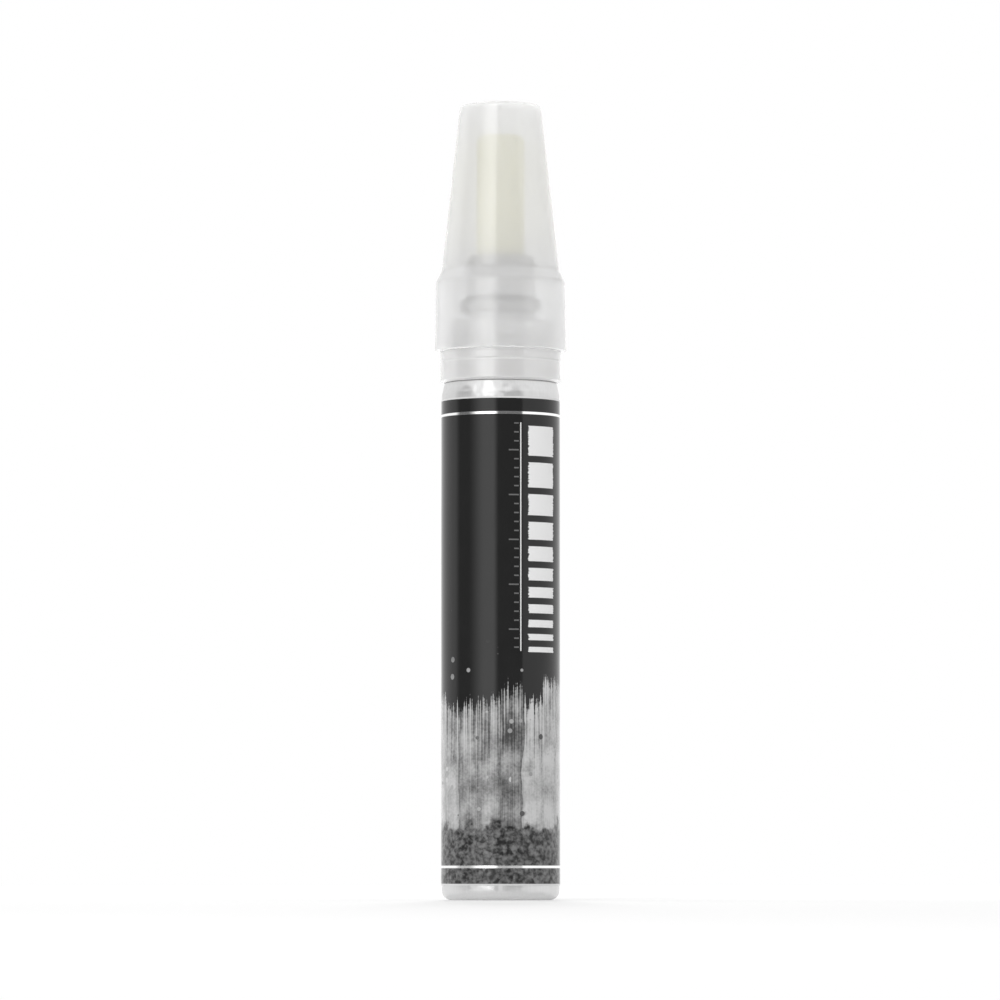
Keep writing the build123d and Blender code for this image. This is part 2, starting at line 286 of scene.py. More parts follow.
# Barrel: drawn aluminium cup with a recessed base, standing ring, sloping shoulder and turned-in mouth
barrelLook = {
    "wall": 0.5, "floor": 0.8, "floorRound": 0.9, "baseRound": 1.7, "recess": 0.6, "recessRound": 0.3,
    "ringWidth": 1.6, "ringRound": 0.15, "shoulderHeight": 2.0, "shoulderStep": 0.45, "shoulderRound": 2.0,
    "mouthRound": 0.25, "lipWidth": 1.45, "lipRound": 0.06, "underShare": 0.75, "underRound": 0.2, "arcSteps": 13,
    "colour": grey(0.64), "dullColour": grey(0.60), "roughness": (0.31, 0.37), "cloudSize": 9.0, "grainSize": 0.12,
    "drawScale": (4.0, 4.0, 0.06), "drawShare": 0.6, "drawLines": 0.01, "dentSize": 2.4, "dentDepth": 0.28,
}


# Satin metal: upright drawing lines and a slow cloud change its shine, and shallow dents break its reflections
def barrelMetal(look):
    material, tree, shader = newMaterial("satinAluminium", Metallic=0.7)
    cloud, _ = surface(tree, look)
    place = wire(tree, "TexCoord").outputs["Object"]
    lines = wire(tree, "Mapping", {"Vector": place, "Scale": tuple(k / mm for k in look["drawScale"])})
    draw = wire(tree, "TexNoise", {"Vector": lines.outputs[0], "Scale": 1.0, "Detail": 3.0}).outputs[0]
    dents = wire(tree, "TexNoise", {"Vector": place, "Scale": 1 / (look["dentSize"] * mm), "Detail": 1.0})
    worn = average(tree, draw, cloud, look["drawShare"])
    tree.links.new(fade(tree, worn, *noiseSpan, *look["roughness"]), shader.inputs["Roughness"])
    tint = blend(tree, fade(tree, worn, *tintSpan), look["colour"], look["dullColour"])
    tree.links.new(tint, shader.inputs["Base Color"])
    relief = calc(tree, "MULTIPLY_ADD", draw, look["drawLines"], dents.outputs[0])
    bump(tree, shader, relief, 1.0, look["dentDepth"])
    return material


def buildBarrel(look):
    ringInner = barrelRadius - look["baseRound"] - look["ringWidth"]
    bore, mouth = barrelRadius - look["wall"], barrelRadius - look["shoulderStep"]
    shoulder, lipUnder = barrelTop - look["shoulderHeight"], barrelTop - look["wall"]
    lip = mouth - look["lipWidth"]
    under, inside = baseZ + look["recess"], baseZ + look["recess"] + look["floor"]
    outline = roundedOutline([
        (0, under, 0),
        (ringInner - look["recess"], under, look["recessRound"]),
        (ringInner, baseZ, look["ringRound"]),
        (barrelRadius, baseZ, look["baseRound"]),
        (barrelRadius, shoulder, look["shoulderRound"]),
        (mouth, barrelTop, look["mouthRound"]),
        (lip, barrelTop, look["lipRound"]),
        (lip, lipUnder, look["lipRound"]),
        (bore - look["shoulderStep"] * look["underShare"], lipUnder, look["underRound"]),
        (bore, shoulder, look["shoulderRound"]),
        (bore, inside, look["floorRound"]),
        (0, inside, 0),
    ], arcSteps=look["arcSteps"])
    return fit(turnedPiece("barrelCup", outline), barrelMetal(look), "barrel", "barrel_body")


buildBarrel(barrelLook)
print("barrel: drawn cup done")


# Front section: spigot, collar, cap neck, stepped nose, and a bore with grip ribs for the nib
sectionLook = {
    "rounds": (0.05, 0.1, 0.15, 0.2, 0.25),                      # hair, fine, small, plain and wide roundings
    "spigotLead": 0.5, "spigotInset": 0.64, "spigotRound": 0.08, "waist": 7.96, "pocketFit": 0.04,
    "shoulderDepth": 2.0, "shoulderStep": 0.33, "shoulderRound": 2.0, "lipDepth": 0.54, "lipRound": 0.04,
    "underRound": 0.4, "footEase": 0.55, "footShare": 0.7, "lineDrop": 1.7, "lineHalf": 0.25, "lineDepth": 0.07,
    "seatWidth": 1.0, "neckHeight": 5.0, "neckRound": 0.8,
    "beadHeight": 0.2, "beadLift": 2.6, "beadFoot": 0.7, "beadFlat": 0.5,
    "bodyRadius": 5.95, "grooveHeight": 1.5, "ringRadius": 6.9, "ringHeight": 2.2,
    "noseRadius": 6.25, "lipHeight": 1.1, "taperHeight": 1.8, "tipRadius": 5.4, "mouthRound": 0.12,
    "nibFit": 0.05, "ribs": 6, "ribDepth": 0.35, "ribWidth": 1.1, "ribSetback": 0.8, "ribEase": 0.2,
    "ribFlank": 0.12, "tubeRadius": 5.6, "tubeTail": 0.4, "roof": 1.6, "ledge": 0.3, "around": 252,
    "colour": grey(0.79, 0.003), "deepColour": grey(0.76, 0.005), "roughness": (0.16, 0.22),
    "cloudSize": 7.0, "grainSize": 0.3, "bumpStrength": 0.08, "bumpDepth": 0.03, "paintedShadeEdge": 0.12,
    "spans": [(capSeat, capSeat + 6.4, grey(0.92, 0.004)),       # painted light and shade: neck lighter, ring darker, its upper edge darkest, nose darker
              (capSeat + 6.4, capSeat + 8.0, grey(0.60, 0.006)),
              (capSeat + 8.0, capSeat + 9.1, grey(0.36, 0.006)),
              (capSeat + 13.2, noseTop + 1, grey(0.56, 0.006))],
}


def buildSection(look):
    hair, fine, small, plain, wide = look["rounds"]
    seatZ = capSeat
    neckRadius = collarRadius - look["seatWidth"]
    neckTop = seatZ + look["neckHeight"]
    ringLow = neckTop + look["grooveHeight"]
    ringTop = ringLow + look["ringHeight"]
    taperLow = noseTop - look["taperHeight"]
    lipLow = taperLow - look["lipHeight"]
    beadZ, bead = seatZ + look["beadLift"], look["beadHeight"]
    lineZ, lineHalf = seatZ - look["lineDrop"], look["lineHalf"]
    bore = nibRadius + look["nibFit"] + look["ribDepth"]
    ribTop = noseTop - look["ribSetback"]
    tubeLow, roofZ = nibLow + look["tubeTail"], neckTop - look["roof"]
    pocket = pocketRadius + look["pocketFit"]
    spigot = barrelRadius - look["spigotInset"]
    outline = roundedOutline([
        (pocket, spigotZ, look["spigotRound"]),
        (spigot - look["spigotLead"], spigotZ, look["spigotRound"]),
        (spigot, spigotZ + look["spigotLead"], fine),
        (spigot, barrelTop - look["shoulderDepth"], look["shoulderRound"]),
        (spigot - look["shoulderStep"], barrelTop - look["lipDepth"], look["underRound"]),
        (look["waist"], barrelTop - look["lipDepth"], look["lipRound"]),
        (look["waist"], barrelTop, hair),
        (collarRadius - look["footEase"], barrelTop, hair),
        (collarRadius, barrelTop + look["footEase"] * look["footShare"], small),
        (collarRadius, lineZ - lineHalf, small),
        (collarRadius - look["lineDepth"], lineZ, small),
        (collarRadius, lineZ + lineHalf, small),
        (collarRadius, seatZ, small),
        (neckRadius, seatZ, fine),
        (neckRadius, beadZ - look["beadFoot"], fine),
        (neckRadius + bead, beadZ - look["beadFlat"], plain),
        (neckRadius + bead, beadZ + look["beadFlat"], plain),
        (neckRadius, beadZ + look["beadFoot"], fine),
        (neckRadius, neckTop, look["neckRound"]),
        (look["bodyRadius"], neckTop, small),
        (look["bodyRadius"], ringLow, small),
        (look["ringRadius"], ringLow, wide),
        (look["ringRadius"], ringTop, wide),
        (look["bodyRadius"], ringTop, small),
        (look["bodyRadius"], lipLow, fine),
        (look["noseRadius"], lipLow, fine),
        (look["noseRadius"], taperLow, wide),
        (look["tipRadius"], noseTop, wide),
        (bore, noseTop, look["mouthRound"]),
        (bore, ribTop, hair),
        (bore, ribTop - look["ribEase"], hair),
        (bore, tubeLow, fine),
        (look["tubeRadius"], tubeLow, fine),
        (look["tubeRadius"], roofZ, plain),
        (pocket - look["ledge"], roofZ, plain),
        (pocket - look["ledge"], seatTop, hair),
        (pocket, seatTop, hair),
    ], closed=True)

    # Grip ribs: the bore's radius steps in by the ribs' depth inside narrow sectors with short flanks
    def ribs(angle, r, z):
        halfWidth = look["ribWidth"] / 2 / bore
        sector = 2 * np.pi / look["ribs"]
        off = np.abs((angle + sector / 2) % sector - sector / 2)
        inBore = (np.abs(r - bore) < 0.02) & (z < ribTop - hair) & (z > tubeLow + fine)
        flank = look["ribFlank"]
        return -look["ribDepth"] * np.clip((halfWidth + flank / 2 - off) / flank, 0, 1) * inBore

    finish = {"IOR": 1.49, "Transmission Weight": 0.1, "Coat Weight": 1.0, "Coat Roughness": 0.24,
              "Specular IOR Level": 0.8, "Subsurface Weight": 0.8, "Subsurface Scale": 0.001,
              "Subsurface Radius": (1.0, 1.0, 0.95)}
    material = mouldedPlastic("naturalPlastic", look, **finish)
    piece = turnedPiece("frontSection", outline, closed=True, around=look["around"], shift=ribs)
    return fit(piece, material, "front_section", "barrel_body")


buildSection(sectionLook)
print("front section: collar, neck, nose and ribbed bore done")


# Nib: felt block whose radius and end wander by a few hundredths, as packed fibre does
nibLook = {
    "edgeRound": 0.9, "tailChamfer": 0.5, "tailRounds": (0.1, 0.15), "arcSteps": 11, "around": 300, "step": 0.16,
    "fuzz": 0.022, "seed": 11, "colour": (0.985, 0.965, 0.735, 1), "deepColour": (0.975, 0.95, 0.68, 1),
    "tintSpan": (0.3, 0.72), "cloudSize": 3.0, "grainSize": 0.2, "bump": 0.3, "bumpDepth": 0.05,
    "fibreAcross": 0.09, "fibreAlong": 1.4, "fibreTwist": 0.6, "fibreShare": 0.6,
}


def nibFelt(look):
    material, tree, shader = newMaterial("creamFelt", **{"Roughness": 0.92, "Specular IOR Level": 0.15})
    cloud, grain = surface(tree, look)
    place = wire(tree, "TexCoord").outputs["Object"]
    across, along = 1 / (look["fibreAcross"] * mm), 1 / (look["fibreAlong"] * mm)
    strand = wire(tree, "Mapping", {"Vector": place, "Scale": (across, across, along)}).outputs[0]
    fibre = wire(tree, "TexNoise", {"Vector": strand, "Scale": 1.0, "Detail": 3.0,
                                    "Distortion": look["fibreTwist"]}).outputs[0]
    mixed = average(tree, fibre, cloud, look["fibreShare"])
    tint = blend(tree, fade(tree, mixed, *look["tintSpan"]), look["deepColour"], look["colour"])
    tree.links.new(tint, shader.inputs["Base Color"])
    bump(tree, shader, calc(tree, "ADD", fibre, grain), look["bump"], look["bumpDepth"])
    return material


def buildNib(look):
    tailRound, sideRound = look["tailRounds"]
    outline = roundedOutline([
        (0, nibLow, 0),
        (nibRadius - look["tailChamfer"], nibLow, tailRound),
        (nibRadius, nibLow + look["tailChamfer"], sideRound),
        (nibRadius, nibTop, look["edgeRound"]),
        (0, nibTop, 0),
    ], longest=look["step"], arcSteps=look["arcSteps"])
    rng = np.random.default_rng(look["seed"])

    # Fuzz: seeded random heights, averaged with their neighbours, only ever inwards
    def fuzz(angle, r, z):
        raw = rng.random((len(angle), r.shape[1]))
        soft = (raw + np.roll(raw, 1, 0) + np.roll(raw, 1, 1) + np.roll(raw, (1, 1), (0, 1))) / 4
        return -look["fuzz"] * 2 * soft * np.minimum(r / nibRadius, 1)

    piece = turnedPiece("feltNib", outline, around=look["around"], shift=fuzz)
    return fit(piece, nibFelt(look), "nib", "nib_unit")


buildNib(nibLook)
print("nib: felt block done")


# Cap: crowned top, long cone, flared shoulder, skirt whose rim sits on the collar, and a moulding gate on the crown.
# Its four finishes are numbered in the order given. All are partly clear, and the outer three partly milky.
capLook = {
    "wall": 1.15, "roof": 0.85, "crown": 0.35, "crownFrom": 0.62, "crownSteps": 8, "crownRound": 0.4,
    "topRound": 0.8, "innerRound": 0.8, "innerBend": 3.2, "coneTop": 6.92, "coneBase": 9.97, "coneBaseLift": 13.75,
    "shoulderLift": 11.8, "shoulderRound": 2.5, "skirtRadius": 10.95, "rim": 11.15, "rimRound": 0.25,
    "boreRadius": 9.45, "boreHeight": 10.6, "boreRound": 0.3, "zoneEdge": 0.4, "arcSteps": 13, "around": 256,
    "gateRadius": 1.1, "gateDepth": 0.12, "gateRound": 0.1, "gateMoat": 0.45, "stubShare": 0.3, "stubRound": 0.08,
    "grain": {"cloudSize": 9.0, "grainSize": 0.3, "bumpStrength": 0.03, "bumpDepth": 0.03},
    "finishes": {
        "outside": {"colour": grey(0.68), "deepColour": grey(0.675), "roughness": (0.07, 0.11), "clear": 0.85,
                    "coat": 0.5, "milk": grey(0.925), "milky": 0.64, "glossIor": 1.72, "glossRough": 0.08},
        "inside": {"colour": grey(0.98), "deepColour": grey(0.975), "roughness": (0.06, 0.09), "clear": 0.97,
                   "coat": 0.0, "bumpStrength": 0.02},
        "skirt": {"colour": grey(0.85), "deepColour": grey(0.845), "roughness": (0.03, 0.05), "clear": 0.90,
                  "coat": 0.5, "milk": grey(0.92), "milky": 0.64, "glossIor": 1.76, "glossRough": 0.2},
        # Painted shade: the shoulder's duller milk and weaker gloss dim the bright band its flare catches
        "shoulder": {"colour": grey(0.84), "deepColour": grey(0.835), "roughness": (0.07, 0.11), "clear": 0.85,
                     "coat": 0.5, "milk": grey(0.84), "milky": 0.68, "glossIor": 1.45, "glossRough": 0.2},
    },
}


def buildCap(look):
    ceiling = capTop - look["crown"] - look["roof"]
    coneFoot, shoulderFoot = capSeat + look["coneBaseLift"], capSeat + look["shoulderLift"]
    domeRadius = (look["coneTop"] ** 2 + look["crown"] ** 2) / (2 * look["crown"])
    domeShare = np.linspace(look["crownFrom"], 0.0, look["crownSteps"] + 1)[:-1]

    # Crown: the height falls from the top as a circle of the dome's radius falls away from its crest
    def crownZ(r):
        return capTop - domeRadius + np.sqrt(domeRadius ** 2 - r ** 2)

    gate, gateRound = look["gateRadius"], look["gateRound"]
    gateEdge = gate + look["gateDepth"]
    gateZ, stubZ = crownZ(gate) - look["gateDepth"], crownZ(gate) - look["gateDepth"] / 3
    outline = roundedOutline([
        (0, ceiling, 0),
        (look["coneTop"] - look["wall"], ceiling, look["innerRound"]),
        (look["coneBase"] - look["wall"], coneFoot, look["innerBend"]),
        (look["boreRadius"], capSeat + look["boreHeight"], look["innerBend"]),
        (look["boreRadius"], capSeat, look["boreRound"]),
        (look["rim"], capSeat, look["rimRound"]),
        (look["skirtRadius"], shoulderFoot, look["shoulderRound"]),
        (look["coneBase"], coneFoot, look["shoulderRound"]),
        (look["coneTop"], capTop - look["crown"], look["topRound"]),
        *[(r, crownZ(r), look["crownRound"]) for r in look["coneTop"] * domeShare if r > gate + look["crownRound"]],
        (gateEdge, crownZ(gateEdge), gateRound),
        (gate, gateZ, gateRound),
        (gate * look["gateMoat"], gateZ, gateRound),
        (gate * look["stubShare"], stubZ, look["stubRound"]),
        (0, stubZ, 0),
    ], arcSteps=look["arcSteps"])
    heights = outline[:-1, 1]
    inside = np.arange(len(heights)) < np.argmin(outline[:, 1])
    skirt = heights < shoulderFoot - look["zoneEdge"]
    shoulder = heights < coneFoot + look["zoneEdge"]
    zones = np.select([inside, skirt, shoulder], [1, 2, 3], 0)
    piece = turnedPiece("capShell", outline, around=look["around"], zones=zones)
    for side, finish in look["finishes"].items():
        constants = {"IOR": 1.49, "Transmission Weight": finish["clear"], "Coat Weight": finish["coat"],
                     "Coat Roughness": 0.12}
        material = mouldedPlastic("frostedPlastic." + side, {**look["grain"], **finish}, **constants)
        piece.data.materials.append(material)
    return fit(piece, None, "cap", "cap_body")


buildCap(capLook)
print("cap: frosted shell done")


# Label: one strip of film wound round the barrel, overlapping itself at the back.
# Each noise is written as its scale across and up the strip per mm, its detail and its seed.
labelLook = {
    "thickness": 0.1, "lap": 2.5, "ramp": 0.8, "columns": 420, "rows": 90, "ripple": 0.012, "rippleBase": 0.004,
    "edgeSteps": (0, 0.012, 0.04, 0.12), "sideInset": 0.5, "endInset": 0.4,
    "black": grey(0.018), "ink": grey(0.86), "foil": grey(0.88), "film": grey(0.75),
    "foilHeights": (5.55, 81.36), "foilWidth": 0.42, "margin": 0.28,
    "ruleAt": 3.4, "ruleWidth": 0.2, "ruleSpan": (41.5, 79.7), "tickStep": 1.5, "tickWidth": 0.16, "tickGroup": 5,
    "tickShort": 0.8, "tickLonger": 0.9, "tickGap": 0.35, "tickGrey": grey(0.16),
    "barSide": (4.8, 10.6), "barTop": 79.2, "barThickest": 5.0, "barCount": 11, "barGap": 1.12, "barShrink": 0.84,
    "barEdge": 0.05, "barRagged": 0.9,
    "brushWidth": 3.93, "brushTop": 34.5, "brushSpread": 5.0, "brushWander": 2.4, "brushFade": 6.0,
    "brushLight": grey(0.62), "brushDark": grey(0.07), "paintEdge": (-0.04, 0.12), "bristleBreak": 1.6,
    "grainBreak": 0.5, "toneSpread": 0.75, "toneMiddle": 0.645, "toneLayers": (0.5, 1.3, 0.45),
    "seamFrom": 0.30, "seamCloud": (0.4, 0.6), "seamDepth": 0.22, "thinSpan": (2.2, 0.2), "thinSpread": 1.6,
    "thinMiddle": -0.02,
    "dropScale": 0.55, "dropFrom": 0.55, "dropSize": 0.30, "dropEdge": (-0.01, 0.03), "splashTop": 44.0,
    "footTop": 12.5, "footRagged": 11.0, "footEdge": 1.0, "footLight": grey(0.22), "dabScale": 0.9,
    "dabShare": 0.13, "dabSpan": (0.34, 0.72), "roughness": (0.07, 0.13), "bump": 0.05, "bumpDepth": 0.05,
    "noises": {"wander": (0.05, 0.16, 2.0, 3.0), "bristle": (4.5, 0.05, 3.0, 7.0), "grain": (2.2, 2.2, 3.0, 5.0),
               "cloud": (0.24, 0.24, 4.0, 12.0), "foot": (0.35, 0.35, 4.0, 9.0), "dabs": (1.2, 1.2, 5.0, 2.0),
               "bars": (0.9, 5.0, 3.0, 4.0), "gloss": (0.25, 0.25, 4.0, 1.0), "film": (0.5, 0.35, 2.0, 6.0)},
}


# Film strip: point (s, v) is s along the wrap and v up the barrel, at angle s / radius. Where the strip passes over
# its own start, it lifts by the film's thickness. Three crossed waves ripple it. Rows and columns lie close together
# near the edges, to keep them crisp. Outer and inner faces are joined along the strip's four edges.
def buildLabelMesh(look):
    around = 2 * np.pi * barrelRadius
    length = around + look["lap"]
    close = np.array(look["edgeSteps"])
    side, end = look["sideInset"], look["endInset"]
    s = np.concatenate([close, np.linspace(side, length - side, look["columns"]), length - close[::-1]])[:, None]
    v = np.concatenate([labelLow + close, np.linspace(labelLow + end, labelTop - end, look["rows"]),
                        labelTop - close[::-1]])[None]
    climb = np.clip((s - around + look["ramp"]) / look["ramp"], 0, 1)
    waves = np.sin(v * 0.21 + s * 0.11) + np.sin(v * 0.37 - s * 0.23 + 1.0) + np.sin(v * 0.09 + s * 0.41 + 2.0)
    ripple = look["rippleBase"] + look["ripple"] * (1 + waves / 3)
    lift = look["thickness"] * climb * climb * (3 - 2 * climb) + ripple
    angle = -np.pi / 2 + (s - length / 2) / barrelRadius
    layers = []
    for face in (look["thickness"], 0):
        radius = barrelRadius + lift + face
        layers.append(np.stack(np.broadcast_arrays(radius * np.cos(angle), radius * np.sin(angle), v), axis=-1))
    points = np.concatenate([layer.reshape(-1, 3) for layer in layers]) * mm
    outer = np.arange(s.size * v.size).reshape(s.size, v.size)
    inner = outer + outer.size

    def strip(a, b, c, d):
        return np.stack([a, b, c, d], axis=-1).reshape(-1, 4)

    quads = np.concatenate([
        strip(outer[:-1, :-1], outer[1:, :-1], outer[1:, 1:], outer[:-1, 1:]),
        strip(inner[:-1, :-1], inner[:-1, 1:], inner[1:, 1:], inner[1:, :-1]),
        strip(outer[:-1, -1], outer[1:, -1], inner[1:, -1], inner[:-1, -1]),
        strip(inner[:-1, 0], inner[1:, 0], outer[1:, 0], outer[:-1, 0]),
        strip(inner[0, :-1], outer[0, :-1], outer[0, 1:], inner[0, 1:]),
        strip(outer[-1, :-1], inner[-1, :-1], inner[-1, 1:], outer[-1, 1:]),
    ])
    wrap = np.broadcast_arrays(s / length, (v - labelLow) / (labelTop - labelLow))
    wrap = np.stack(wrap, axis=-1).reshape(-1, 2)
    uv = np.concatenate([wrap, wrap])[quads.ravel()]
    return meshPiece("labelFilm", points, quads, uv=uv), length


def labelPrint(look, length):
    material, tree, shader = newMaterial("printedFilm", **{"IOR": 1.5, "Specular IOR Level": 0.27})
    split = wire(tree, "SeparateXYZ", {"Vector": wire(tree, "UVMap", uv_map="wrap").outputs[0]})
    across = calc(tree, "MULTIPLY_ADD", split.outputs[0], length, -length / 2)             # mm from the front line
    up = calc(tree, "MULTIPLY_ADD", split.outputs[1], labelTop - labelLow, labelLow)       # mm above the base
    sheet = wire(tree, "CombineXYZ", {"X": across, "Y": up}).outputs[0]

    def noise(name):
        scaleX, scaleY, detail, seed = look["noises"][name]
        inputs = {"Vector": sheet, "Scale": (scaleX, scaleY, 1), "Location": (seed, seed, seed)}
        place = wire(tree, "Mapping", inputs).outputs[0]
        return wire(tree, "TexNoise", {"Vector": place, "Scale": 1.0, "Detail": detail}).outputs[0]

    # A value from 0 to 1 becomes one that swings by the amount, about the middle
    def swing(value, amount, middle=0.0):
        return calc(tree, "MULTIPLY_ADD", value, amount, middle - amount / 2)

    # Brush strokes: sixteen upright strokes round the barrel, each with its own tone and top. The bristles leave
    # streaks, the paint runs thin and breaks up towards the top, and a dark seam stays where two strokes meet.
    lane = calc(tree, "ADD", across, swing(noise("wander"), look["brushWander"]))
    lane = calc(tree, "DIVIDE", lane, look["brushWidth"])
    lot = wire(tree, "TexWhiteNoise", {"W": calc(tree, "FLOOR", lane)}, noise_dimensions="1D")
    pick = wire(tree, "SeparateColor", {"Color": lot.outputs["Color"]})
    bristle, grain, cloud = noise("bristle"), noise("grain"), noise("cloud")
    top = swing(pick.outputs[0], look["brushSpread"], look["brushTop"])
    cover = calc(tree, "DIVIDE", calc(tree, "SUBTRACT", top, up), look["brushFade"])
    cover = calc(tree, "ADD", cover, swing(bristle, look["bristleBreak"]))
    cover = calc(tree, "ADD", cover, swing(grain, look["grainBreak"]))
    tone = swing(pick.outputs[1], look["toneSpread"], look["toneMiddle"])
    for layer, amount in zip((bristle, cloud, grain), look["toneLayers"]):
        tone = calc(tree, "ADD", tone, swing(layer, amount))
    offMiddle = calc(tree, "ABSOLUTE", calc(tree, "SUBTRACT", calc(tree, "FRACT", lane), 0.5))
    seam = fade(tree, cloud, *look["seamCloud"], 0.0, look["seamDepth"])
    seam = calc(tree, "MULTIPLY", fade(tree, offMiddle, look["seamFrom"], 0.5), seam)
    tone = calc(tree, "SUBTRACT", tone, seam)
    thin = swing(bristle, look["thinSpread"], look["thinMiddle"])
    tone = calc(tree, "ADD", tone, calc(tree, "MULTIPLY", fade(tree, cover, *look["thinSpan"]), thin))
    brush = blend(tree, fade(tree, tone, 0.0, 1.0), look["brushDark"], look["brushLight"])
    colour = blend(tree, fade(tree, cover, *look["paintEdge"]), look["black"], brush)

    # Spatter: round drops in random cells, thinning out above the strokes
    drops = wire(tree, "TexVoronoi", {"Vector": sheet, "Scale": look["dropScale"]})
    cell = wire(tree, "SeparateColor", {"Color": drops.outputs["Color"]})
    size = fade(tree, cell.outputs[0], look["dropFrom"], 1.0, 0.0, look["dropSize"])
    spot = fade(tree, calc(tree, "SUBTRACT", size, drops.outputs["Distance"]), *look["dropEdge"])
    spot = calc(tree, "MULTIPLY", spot, fade(tree, up, look["splashTop"], look["brushTop"]))
    colour = blend(tree, spot, colour, blend(tree, cell.outputs[1], look["brushLight"], look["brushDark"]))

    # Stippled foot: dark dabs of uneven tone under the strokes, with a ragged upper edge
    edge = swing(noise("foot"), look["footRagged"], look["footTop"])
    foot = fade(tree, calc(tree, "SUBTRACT", edge, up), -look["footEdge"], look["footEdge"])
    dabs = wire(tree, "TexVoronoi", {"Vector": sheet, "Scale": look["dabScale"]})
    dabTone = wire(tree, "SeparateColor", {"Color": dabs.outputs["Color"]}).outputs[0]
    dabTone = average(tree, dabTone, noise("dabs"), look["dabShare"])
    speckle = blend(tree, fade(tree, dabTone, *look["dabSpan"]), look["black"], look["footLight"])
    colour = blend(tree, foot, colour, speckle)

    # Line-width chart: white strokes, each thinner than the one above, beside a rule with ticks
    ragged = calc(tree, "ADD", across, swing(noise("bars"), look["barRagged"]))
    column = within(tree, ragged, *look["barSide"], look["barEdge"])
    chart = 0.0
    high, thick = look["barTop"], look["barThickest"]
    for _ in range(look["barCount"]):
        chart = calc(tree, "ADD", chart, within(tree, up, high - thick, high, look["barEdge"]))
        high, thick = high - thick - look["barGap"], thick * look["barShrink"]
    beside = within(tree, up, *look["ruleSpan"])
    rule = within(tree, across, look["ruleAt"] - look["ruleWidth"] / 2, look["ruleAt"] + look["ruleWidth"] / 2)
    rule = calc(tree, "MULTIPLY", rule, beside)
    colour = blend(tree, calc(tree, "MAXIMUM", calc(tree, "MULTIPLY", column, chart), rule), colour, look["ink"])
    step = calc(tree, "FRACT", calc(tree, "DIVIDE", up, look["tickStep"]))
    group = calc(tree, "FRACT", calc(tree, "DIVIDE", up, look["tickStep"] * look["tickGroup"]))
    isLong = calc(tree, "LESS_THAN", group, 1 / look["tickGroup"])
    tickLength = calc(tree, "MULTIPLY_ADD", isLong, look["tickLonger"], look["tickShort"])
    toRule = calc(tree, "SUBTRACT", look["ruleAt"] - look["tickGap"], across)
    tick = calc(tree, "LESS_THAN", step, look["tickWidth"])
    for mask in (calc(tree, "LESS_THAN", toRule, tickLength), calc(tree, "GREATER_THAN", toRule, 0.0), beside):
        tick = calc(tree, "MULTIPLY", tick, mask)
    colour = blend(tree, tick, colour, look["tickGrey"])

    # Unprinted film at both edges, then the two foil lines over everything
    printed = within(tree, up, labelLow + look["margin"], labelTop - look["margin"])
    colour = blend(tree, calc(tree, "SUBTRACT", 1.0, printed), colour, look["film"])
    foil, half = 0.0, look["foilWidth"] / 2
    for height in look["foilHeights"]:
        foil = calc(tree, "ADD", foil, within(tree, up, height - half, height + half))
    tree.links.new(blend(tree, foil, colour, look["foil"]), shader.inputs["Base Color"])
    tree.links.new(foil, shader.inputs["Metallic"])
    tree.links.new(fade(tree, noise("gloss"), *noiseSpan, *look["roughness"]), shader.inputs["Roughness"])
    bump(tree, shader, noise("film"), look["bump"], look["bumpDepth"])
    return material


def buildLabel(look):
    piece, length = buildLabelMesh(look)
    return fit(piece, labelPrint(look, length), "label", "barrel_body")


buildLabel(labelLook)
print("label: printed film done")


# Valve spring: round wire on a helix. Point (t, q) is the helix at t plus the wire's circle at q, on the radial and
# cross directions there. It shortens as the nib is pressed.
springLook = {
    "wire": 0.5, "turns": 6.5, "along": 420, "aroundWire": 16, "cloudSize": 1.5, "grainSize": 0.08,
    "colour": grey(0.62), "dullColour": grey(0.5), "roughness": (0.22, 0.36),
}


def buildSpring(look):
    wireRadius = look["wire"] / 2
    mean = coilRadius - wireRadius
    low, high = springLow + wireRadius, springTop - wireRadius
    t = np.linspace(0, 1, look["along"])[:, None, None]
    q = np.linspace(0, 2 * np.pi, look["aroundWire"], endpoint=False)[None, :, None]
    turn = 2 * np.pi * look["turns"] * t
    radial = np.concatenate([np.cos(turn), np.sin(turn), 0 * turn], axis=-1)
    climb = (high - low) / (2 * np.pi * look["turns"])
    along = np.concatenate([-mean * np.sin(turn), mean * np.cos(turn), climb + 0 * turn], axis=-1)
    along = along / np.linalg.norm(along, axis=-1, keepdims=True)
    cross = np.cross(radial, along)
    middle = mean * radial + np.concatenate([0 * turn, 0 * turn, low + (high - low) * t], axis=-1)
    grid = middle + wireRadius * (np.cos(q) * radial + np.sin(q) * cross)
    index = np.arange(grid[..., 0].size).reshape(grid.shape[:2])
    beside = np.roll(index, -1, axis=1)
    quads = np.stack([index[:-1], index[1:], beside[1:], beside[:-1]], axis=-1).reshape(-1, 4)
    startPole, endPole = index.size, index.size + 1
    fans = np.concatenate([
        np.stack([np.full(q.size, startPole), index[0], beside[0]], axis=-1),
        np.stack([beside[-1], index[-1], np.full(q.size, endPole)], axis=-1),
    ])
    points = np.concatenate([grid.reshape(-1, 3), middle[0], middle[-1]]) * mm
    material, tree, shader = newMaterial("springWire", Metallic=1.0)
    cloud, grain = surface(tree, look)
    tree.links.new(blend(tree, cloud, look["colour"], look["dullColour"]), shader.inputs["Base Color"])
    tree.links.new(fade(tree, grain, *noiseSpan, *look["roughness"]), shader.inputs["Roughness"])
    piece = meshPiece("valveSpring", points, quads, fans)
    fit(piece, material, "valve_spring", "barrel_body")
    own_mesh(piece)
    return piece


buildSpring(springLook)
print("valve spring: coil done")


